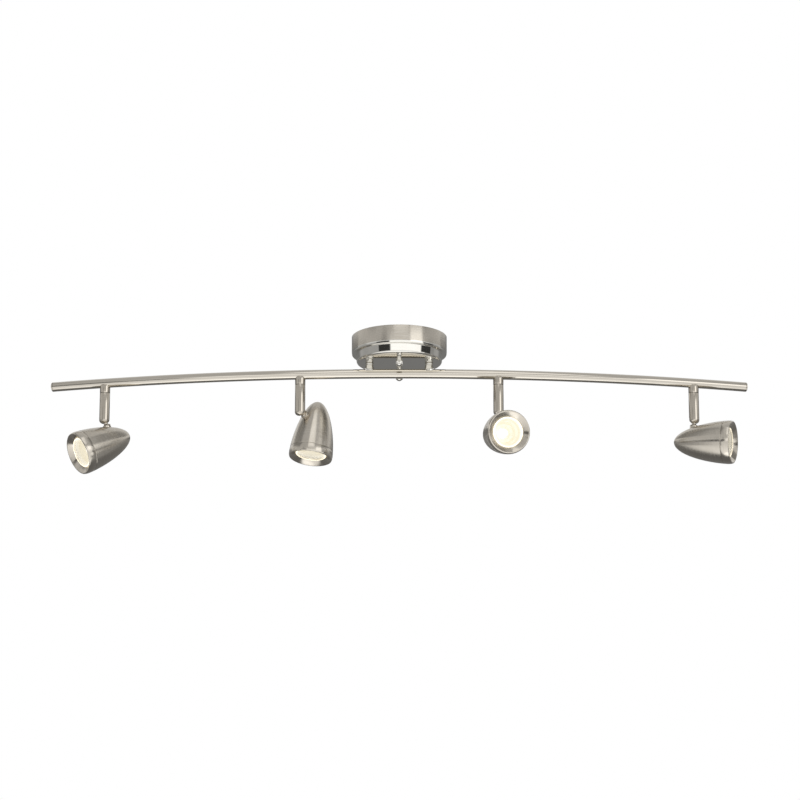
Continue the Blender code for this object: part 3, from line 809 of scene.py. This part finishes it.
@dataclass
class Bar:
    """The bowed tube, its end plugs and the saddle collars under it."""

    bow: Bow
    radius: float = 6.0
    wall: float = 1.0
    half_chord: float = 444.5
    plug_rim: float = 2.0
    collar_radius: float = 6.5
    sides: int = 48
    bends: int = 110

    def tube(self) -> Piece:
        """Models the tube: a circle spun round the bow's centre, and walled.

        Returns:
            The tube.
        """
        end = self.half_chord - self.plug_rim - GAP
        start = self.bow.angle(-end)
        bpy.ops.object.select_all(action="DESELECT")
        bpy.ops.mesh.primitive_circle_add(vertices=self.sides, radius=self.radius * MM,
                                          location=self.bow.point(-end), rotation=(0, math.pi / 2, start))
        piece = bpy.context.object
        piece.name = piece.data.name = "bowed_tube"
        set_down(piece)
        bpy.ops.object.mode_set(mode="EDIT")
        bpy.ops.mesh.select_all(action="SELECT")
        bpy.ops.mesh.spin(steps=self.bends, angle=2 * start, center=(0, self.bow.radius * MM, 0),
                          axis=(0, 0, 1))
        bpy.ops.mesh.select_all(action="SELECT")
        bpy.ops.mesh.normals_make_consistent(inside=False)
        bpy.ops.object.mode_set(mode="OBJECT")
        middle = min(piece.data.polygons, key=lambda face: face.center.z)
        if middle.normal.z > 0:
            bpy.ops.object.mode_set(mode="EDIT")
            bpy.ops.mesh.flip_normals()
            bpy.ops.object.mode_set(mode="OBJECT")
        modify(piece, "SOLIDIFY", thickness=self.wall * MM, offset=-1)
        return piece

    def plug(self) -> Piece:
        """Models an end plug: a rim with a slightly crowned face, and a spigot.

        Returns:
            The pattern plug about Z, its face at height 0.
        """
        radius, spigot = self.radius, self.radius - self.wall - GAP
        section = [(0, 0), (3.5, 0.03), (5.0, 0.15), (radius - 0.3, 0.4), (radius, 0.8),
                   (radius, self.plug_rim), (spigot, self.plug_rim), (spigot, self.plug_rim + 6),
                   (0, self.plug_rim + 6)]
        return grained(turned("plug", section, sides=64, ease=0.1))

    def collar(self, index: int) -> Piece:
        """Models the saddle collar over one stem.

        Args:
            index: the stem's number.

        Returns:
            The collar in its place.
        """
        low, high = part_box(f"collar_{index}")
        middle = (low + high) / 2
        section = [(3.0, low.z / MM), (self.collar_radius, low.z / MM), (self.collar_radius, high.z / MM),
                   (3.0, high.z / MM)]
        piece = turned(f"saddle_{index}", section, sides=80, ease=0.35)
        saddle = Matrix.Translation((0, 0, self.bow.height * MM)) @ \
            Matrix.Rotation(self.bow.angle(middle.x / MM), 4, "Z") @ Matrix.Rotation(math.pi / 2, 4, "Y")
        combine(piece, cylinder("tube", self.radius + SADDLE_PLAY, -12, 12, saddle, 64))
        grained(piece)
        return set_down(piece, Matrix.Translation((middle.x, self.bow.point(middle.x / MM).y, 0)))

    def build(self, shop: Workshop) -> None:
        """Models and dresses the bar's pieces.

        Args:
            shop: the finishes.
        """
        fit(grained(self.tube(), self.bow.straighten), (shop.tube,), "fixture", "brushed_nickel", "bar_tube")
        pattern = self.plug()
        for side in Side:
            angle = side.value * self.bow.angle(self.half_chord)
            inwards = Matrix.Rotation(angle, 4, "Z") @ Matrix.Rotation(-side.value * math.pi / 2, 4, "Y")
            place = Matrix.Translation(self.bow.point(side.value * self.half_chord)) @ inwards
            name = side.name.lower()
            fit(copy_of(pattern, f"plug_{name}", place), (shop.satin,), "fixture", "brushed_nickel",
                f"end_cap_{name}")
        discard(pattern)
        for index in HEADS:
            fit(self.collar(index), (shop.stem,), "fixture", "brushed_nickel", f"collar_{index}")


# ---------------------------------------------------------------- stems and heads


@dataclass
class Stem:
    """A tube with a closed top and, below, a spherical seat that is slotted for the ball's neck."""

    radius: float = 6.5
    bore: float = 5.0
    top: float = 34.8
    top_wall: float = 2.1
    end_radius: float = 4.5
    mouth: float = 3.3
    slot_half_width: float = 3.1
    slot_top: float = 1.1
    slot_reach: float = 9.0

    def model(self) -> Piece:
        """Models the stem about the ball's centre, its slot on -X.

        Returns:
            The pattern stem.
        """
        end = arc((self.radius - self.end_radius, 0), self.end_radius, 0, -73, 14)
        seat_end = math.degrees(math.acos(self.mouth / self.bore))
        section = [(3.0, self.top), (self.radius, self.top), *end, (self.mouth, end[-1][1]),
                   *arc((0, 0), self.bore, -seat_end, 0, 10), (self.bore, self.top - self.top_wall),
                   (3.0, self.top - self.top_wall)]
        piece = turned("stem", section, ease=0.3)
        slot = cylinder("slot", self.slot_half_width, 0, 10,
                        Matrix.Translation((0, 0, self.slot_top * MM)) @ Matrix.Rotation(-math.pi / 2, 4, "Y"))
        pick(slot, lambda spot: spot.z < (self.slot_top - 0.01) * MM)
        bpy.ops.transform.translate(value=(0, 0, -self.slot_reach * MM))
        bpy.ops.object.mode_set(mode="OBJECT")
        combine(piece, slot)
        return grained(piece)


@dataclass
class Head:
    """A spot head: bullet shell, front ring, lamp lens and ball stud, about the ball's centre."""

    offset: float = 29.1
    stud_station: float = 24.7
    shell_radius: float = 27.7
    curve_length: float = 73.6
    curve_power: float = 1.6
    wall: float = 1.2
    shell_front: float = 66.0
    length: float = 76.8
    lens_radius: float = 18.8
    ball: float = 4.7
    neck: float = 2.7
    shank: float = 2.9

    def bullet(self, station: float, grow: float = 0.0) -> float:
        """Outer radius of the bullet at a distance from its back tip, in millimetres."""
        left = max(0.0, 1 - station / self.curve_length)
        return self.shell_radius * math.sqrt(1 - left**self.curve_power) + grow

    def laid(self) -> Matrix:
        """The matrix that lays a piece turned about Z along the head's axis."""
        return Matrix.Translation((-self.stud_station * MM, 0, -self.offset * MM)) @ \
            Matrix.Rotation(math.pi / 2, 4, "Y")

    def outline(self, first: float, last: float, steps: int, grow: float = 0.0) -> list[Point]:
        """Points of the bullet's curve, closer together towards the tip.

        Args:
            first: first station in millimetres.
            last: last station in millimetres.
            steps: number of chords.
            grow: distance added to the radius.

        Returns:
            (radius, station) points.
        """
        stations = [first + (last - first) * (i / steps) ** 1.9 for i in range(steps + 1)]
        return [(0.0 if s == 0 else self.bullet(s, grow), s) for s in stations]

    def shell(self) -> Piece:
        """Models the spun shell, open at the front, with the stud's hole.

        Returns:
            The pattern shell.
        """
        scale = (self.shell_radius - self.wall) / self.shell_radius
        inner = [(scale * r, s + self.wall) for r, s in self.outline(0, self.shell_front - self.wall, 26)]
        outer = self.outline(0, self.shell_front - 0.25, 44)
        lip = [(self.bullet(self.shell_front) - 0.25, self.shell_front)]
        piece = turned("shell", [*outer, *lip, *inner[::-1]], sides=112)
        set_down(piece, self.laid())
        combine(piece, cylinder("hole", self.shank + GAP, -15, -5, sides=32))
        return self.straightened(piece)

    def ring(self) -> Piece:
        """Models the screwed-on front ring: band, narrow lip, inner cone and sleeve.

        Returns:
            The pattern ring.
        """
        start, front = self.shell_front + GAP, self.length
        mouth, seat, sleeve = self.lens_radius + 0.5, 24.7, 25.2
        section = [(self.bullet(start) - 0.1, start), (self.bullet(start) + 0.02, start + 0.25),
                   (self.shell_radius - 0.06, front - 6.5), (self.shell_radius - 0.12, front - 3.2),
                   *arc((self.shell_radius - 1.7, front - 1.1), 1.1, 12, 125, 9),
                   (mouth + 0.25, front - 4.9), (mouth, front - 5.2), (mouth, front - 7.6), (seat, front - 7.6),
                   (seat, front - 15), (sleeve, front - 15), (sleeve, start)]
        return self.straightened(set_down(turned("ring", section, sides=112, ease=0.12), self.laid()))

    def lens(self) -> Piece:
        """Models the lamp's lens: a bright rim, a groove and a domed middle with shallow rings.

        Returns:
            The pattern lens.
        """
        back, face, rim = self.length - 7.2, self.length - 4.6, self.lens_radius
        wide, rise, ripple, steps = 17.2, 1.15, 0.1, 20
        dome = [(wide * (1 - i / steps), face + rise * (1 - (1 - i / steps) ** 2)
                 + ripple * (math.cos(i / 4 * math.tau) - 1)) for i in range(steps)]
        under = [(r, s - 1.3) for r, s in dome[::4]]
        section = [(0, face - 0.2), *under[::-1], (rim - 1.2, face - 1.6), (rim - 1.2, back), (rim, back),
                   (rim, face - 0.3), (rim - 0.3, face), (17.7, face), (17.45, face - 0.3), *dome,
                   (0, face + rise)]
        return self.straightened(set_down(turned("lens", section), self.laid()))

    def lamp(self) -> Piece:
        """Models the reflector lamp: tapered body, dished reflector, capsule, oval base and two pins.

        Returns:
            The pattern lamp, with the reflector's faces on index 1 and the capsule's on index 2.
        """
        face, dish_bottom = self.length - 8, 42
        mouth = self.lens_radius + 0.5
        dish = [(4.6 + 13.6 * math.sin(i / 14 * math.pi / 2) ** 1.1, face - 2.4 - 24 * (1 - i / 14) ** 1.35)
                for i in range(15)]
        capsule = [(0, 59.5), (1.6, 59.2), (2.9, 58.3), (3.6, 57.0), (3.8, 55.5), (3.8, 42.4)]
        section = [(0, 30.5), (14, 30.5), (15.5, 34.5), (21.6, 53), (24.3, 62.5), (24.3, face - 0.6),
                   (23.7, face), (mouth, face), (mouth, face - 2.4), *dish[::-1], *capsule[::-1]]
        piece = turned("lamp", section, sides=72)
        base = cylinder("base", 10, 23, 33, Matrix.Diagonal((0.93, 1.22, 1, 1)), 48)
        combine(piece, base, "UNION")
        for side in Side:
            combine(piece, cylinder("pin", 2.3, 17, 25, Matrix.Translation((0, side.value * 5 * MM, 0)), 24),
                    "UNION")
        for facet in piece.data.polygons:
            across = math.hypot(facet.center.x, facet.center.y) / MM
            inward = facet.normal.xy.dot(facet.center.xy) <= 0
            if facet.center.z > dish_bottom * MM and across < mouth and (inward or across < 4.2):
                facet.material_index = 2 if across < 4.2 else 1
        return self.straightened(set_down(piece, self.laid()))

    def stud(self) -> Piece:
        """Models the ball stud: ball, neck, flange seated on the shell, and threaded shank.

        Returns:
            The pattern stud.
        """
        neck_angle = math.degrees(math.acos(self.neck / self.ball))
        section = [*arc((0, 0), self.ball, 90, -neck_angle, 24), (self.neck, -4.6), (self.neck, -5.3),
                   (2.8, -5.7), (3.2, -6.15), (4.4, -6.7), (4.9, -7.0), (5.1, -7.5), (5.1, -13), (0, -13)]
        section[0] = (0.0, self.ball)
        piece = turned("stud", section, sides=64)
        seat = [*self.outline(0, self.shell_front, 40, 0.05), (0, self.shell_front)]
        combine(piece, set_down(turned("seat", seat, sides=110), self.laid()))
        combine(piece, cylinder("shank", self.shank, -17.7, -7.5, sides=40), "UNION")
        combine(piece, cylinder("bore", 1.3, -20, 6, sides=24))
        return grained(piece)

    def straightened(self, piece: Piece) -> Piece:
        """Records the grain of a piece that is already laid along the head's axis.

        Args:
            piece: the object.

        Returns:
            The same object.
        """
        back = self.laid().inverted()
        return grained(piece, lambda spot: back @ spot)

    def patterns(self) -> dict[str, Piece]:
        """Models each piece of the head once, by name."""
        return {"shell": self.shell(), "ring": self.ring(), "lens": self.lens(), "stud": self.stud(),
                "lamp": self.lamp()}


@dataclass
class Spots:
    """The four stems and heads, each placed by its joints."""

    stem: Stem = field(default_factory=Stem)
    head: Head = field(default_factory=Head)

    def places(self, index: int) -> tuple[Matrix, Matrix]:
        """Where one stem and head are at rest.

        Args:
            index: the head's number.

        Returns:
            The stem's matrix and the head's matrix, from the tilt joint's axis, place and range.
        """
        tilt = next(j for j in frame["joints"] if j["name"] == f"head_{index}_tilt")
        compass = math.atan2(-tilt["axis"][0], tilt["axis"][1])
        stem = Matrix.Translation(tilt["pos_m"]) @ Matrix.Rotation(compass, 4, "Z")
        dip = math.radians(-tilt["range_deg"][0])
        return stem, stem @ Matrix.Rotation(dip, 4, "Y")

    def build(self, shop: Workshop) -> None:
        """Models and dresses every stem and head.

        Args:
            shop: the finishes.
        """
        stem, patterns = self.stem.model(), self.head.patterns()
        roles = (("shell", "head_shell", (shop.brushed,), "brushed_nickel"),
                 ("ring", "bezel", (shop.satin,), "brushed_nickel"),
                 ("lens", "lamp_lens", (shop.lens,), "lamp_lens"),
                 ("lamp", "lamp_body", (shop.lamp, shop.reflector, shop.capsule), "lamp_plastic"),
                 ("stud", "ball_stud", (shop.stem,), "brushed_nickel"))
        for index in HEADS:
            stem_place, head_place = self.places(index)
            fit(copy_of(stem, f"stem_tube_{index}", stem_place), (shop.stem,), f"stem_{index}",
                "brushed_nickel", f"stem_{index}")
            for role, node, finish, slot in roles:
                piece = copy_of(patterns[role], f"{role}_{index}", head_place)
                fit(piece, finish, f"head_{index}", slot, f"{node}_{index}")
        discard(stem, *patterns.values())


# ---------------------------------------------------------------- hidden hardware


@dataclass
class Hardware:
    """The fasteners, wires and lampholders inside, whose solids are kept."""

    heads: range = HEADS

    def dress(self, shop: Workshop) -> None:
        """Gives every kept solid its finish.

        Args:
            shop: the finishes.
        """
        dress_solids(shop.zinc, "zinc_plated_steel", "mounting_plate", "canopy_stud_front", "canopy_stud_back",
                     *[f"stud_nut_{i}" for i in self.heads])
        dress_solids(shop.brass, "brass", "post_nipple_left", "post_nipple_right", "post_lock_nut_left",
                     "post_lock_nut_right", *[f"swivel_screw_{i}" for i in self.heads])
        dress_solids(shop.green, "earth_screw", "ground_screw")
        dress_solids(shop.connector, "connector_plastic", "wire_connector")
        dress_solids(shop.lead, "wire_insulation", "supply_lead", "bar_harness")
        dress_solids(shop.ceramic, "ceramic", *[f"lamp_holder_{i}" for i in self.heads])


# ---------------------------------------------------------------- studio


@dataclass(frozen=True)
class Card:
    """A soft box or dark flag in the room, in degrees to the right of the front and above the level."""

    compass: Point
    lift: Point
    glow: float


@dataclass
class Studio:
    """A pale room with soft boxes and dark flags, and the camera below the fitting."""

    lens: float = 143.0
    distance: float = 4.0
    elevation: float = 15.0
    target: tuple[float, float, float] = (0.0009, 0.0, -0.0816)
    floor_depth: float = 4.3
    floor_size: float = 50.0
    soft_compass: float = 1.2
    soft_lift: float = 0.02
    cards: tuple[Card, ...] = (
        Card((62, 122), (26, 66), 0.24), Card((-128, -62), (28, 66), 0.24), Card((-14, 24), (26, 72), 1.2),
        Card((60, 104), (-30, 6), 0.3), Card((-104, -56), (-22, 4), 0.38), Card((118, 181), (8, 18), 0.2),
        Card((-181, -118), (8, 18), 0.2), Card((-42, -31), (8, 18), 0.3),
        Card((-22, 58), (-8, 6), 1.3), Card((27, 57), (5, 22), 1.75), Card((54, 72), (-20, -3), 1.3),
        Card((-56, -24), (-6, 5), 0.04), Card((60, 90), (-4, 5), 0.04), Card((-75, 75), (-84, -67), 1.8))

    def camera(self) -> None:
        """Adds the camera, which looks up at the fitting."""
        lift = math.radians(self.elevation)
        sight = Vector((0, math.cos(lift), math.sin(lift)))
        data = bpy.data.cameras.new("camera")
        data.lens, data.sensor_width, data.clip_end = self.lens, 36.0, 60.0
        camera = bpy.data.objects.new("camera", data)
        bpy.context.scene.collection.objects.link(camera)
        camera.location = Vector(self.target) - sight * self.distance
        camera.rotation_euler = sight.to_track_quat("-Z", "Y").to_euler()
        bpy.context.scene.camera = camera

    def world(self) -> None:
        """Lights the room: brightest below, dim behind, with the cards in it; the eye sees it plain white."""
        room = bpy.data.worlds.new("room")
        bpy.context.scene.world = room
        room.use_nodes = True
        tree = room.node_tree
        tree.nodes.clear()
        way = add_node(tree, "ShaderNodeTexCoord").outputs["Generated"]
        x, y, z = add_node(tree, "ShaderNodeSeparateXYZ", inputs={0: way}).outputs
        height = spread(tree, z, -1.0, 1.0)
        front = ramp(tree, height, (0.0, grey(1.32)), (1.0, grey(0.54)), (0.1, grey(1.15)), (0.27, grey(0.94)),
                     (0.5, grey(0.74)), (0.66, grey(0.6)), (0.8, grey(0.53)))
        back = ramp(tree, height, (0.0, grey(0.16)), (1.0, grey(0.62)), (0.1, grey(0.16)), (0.37, grey(0.2)),
                    (0.5, grey(0.24)), (0.7, grey(0.8)), (0.88, grey(0.7)))
        # The dim back starts nearer the front at both sides, and nearest on the right.
        wide = maths(tree, "MULTIPLY_ADD", maths(tree, "ABSOLUTE", x), 0.25, y)
        reach = maths(tree, "MULTIPLY_ADD", x, 0.1, wide)
        shade = mix(tree, spread(tree, reach, -0.03, 0.14, curve="SMOOTHSTEP"), front, back)
        compass = maths(tree, "ARCTAN2", x, maths(tree, "MULTIPLY", y, -1.0))
        for card in self.cards:
            left, right = (math.radians(angle) for angle in card.compass)
            low, high = (math.sin(math.radians(angle)) for angle in card.lift)
            across = self.window(tree, compass, left, right, math.radians(self.soft_compass))
            tall = self.window(tree, z, low, high, self.soft_lift)
            shade = mix(tree, maths(tree, "MULTIPLY", across, tall), shade, grey(card.glow))
        seen = add_node(tree, "ShaderNodeLightPath").outputs["Is Camera Ray"]
        glow = add_node(tree, "ShaderNodeBackground", inputs={
            "Color": mix(tree, seen, shade, grey(1.0)), "Strength": 1.0})
        add_node(tree, "ShaderNodeOutputWorld", inputs={"Surface": glow.outputs[0]})

    def window(self, tree: Tree, value: Socket, low: float, high: float,
               soft: float) -> Socket:
        """Adds nodes that give 1 between two values and 0 outside them.

        Args:
            tree: the node tree.
            value: the socket that is compared.
            low: the lower edge.
            high: the upper edge.
            soft: half the width of each edge.

        Returns:
            The result's socket.
        """
        rise = spread(tree, value, low - soft, low + soft, curve="SMOOTHSTEP")
        fall = spread(tree, value, high - soft, high + soft, 1.0, 0.0, "SMOOTHSTEP")
        return maths(tree, "MULTIPLY", rise, fall)

    def floor(self) -> None:
        """Lays the plain pale floor, far below the fitting."""
        bpy.ops.object.select_all(action="DESELECT")
        bpy.ops.mesh.primitive_grid_add(x_subdivisions=4, y_subdivisions=4, size=self.floor_size,
                                        location=(0, 0, -self.floor_depth))
        floor = bpy.context.object
        floor.name = "floor"
        set_down(floor)
        paint = Mottled("floor_paint_rolled_matt", light="#F4F3F1", dark="#EFEEEB", patch=900.0, speck=40.0,
                        metallic=0.0, roughness=0.7).make()
        floor.data.materials.append(paint)
        floor.visible_glossy = False

    def build(self) -> None:
        """Sets up the whole studio, camera first."""
        self.camera()
        self.world()
        self.floor()
        bpy.context.scene.view_settings.view_transform = "Standard"


def main() -> None:
    """Builds every piece of the fitting, in order."""
    logging.basicConfig(level=logging.INFO, format="%(name)s: %(message)s")
    Studio().build()
    shop = Workshop()
    bow = Bow()
    Canopy().build(shop)
    Posts(bow).build(shop)
    Bar(bow).build(shop)
    Spots().build(shop)
    Hardware().dress(shop)


if __name__ == "__main__":
    main()
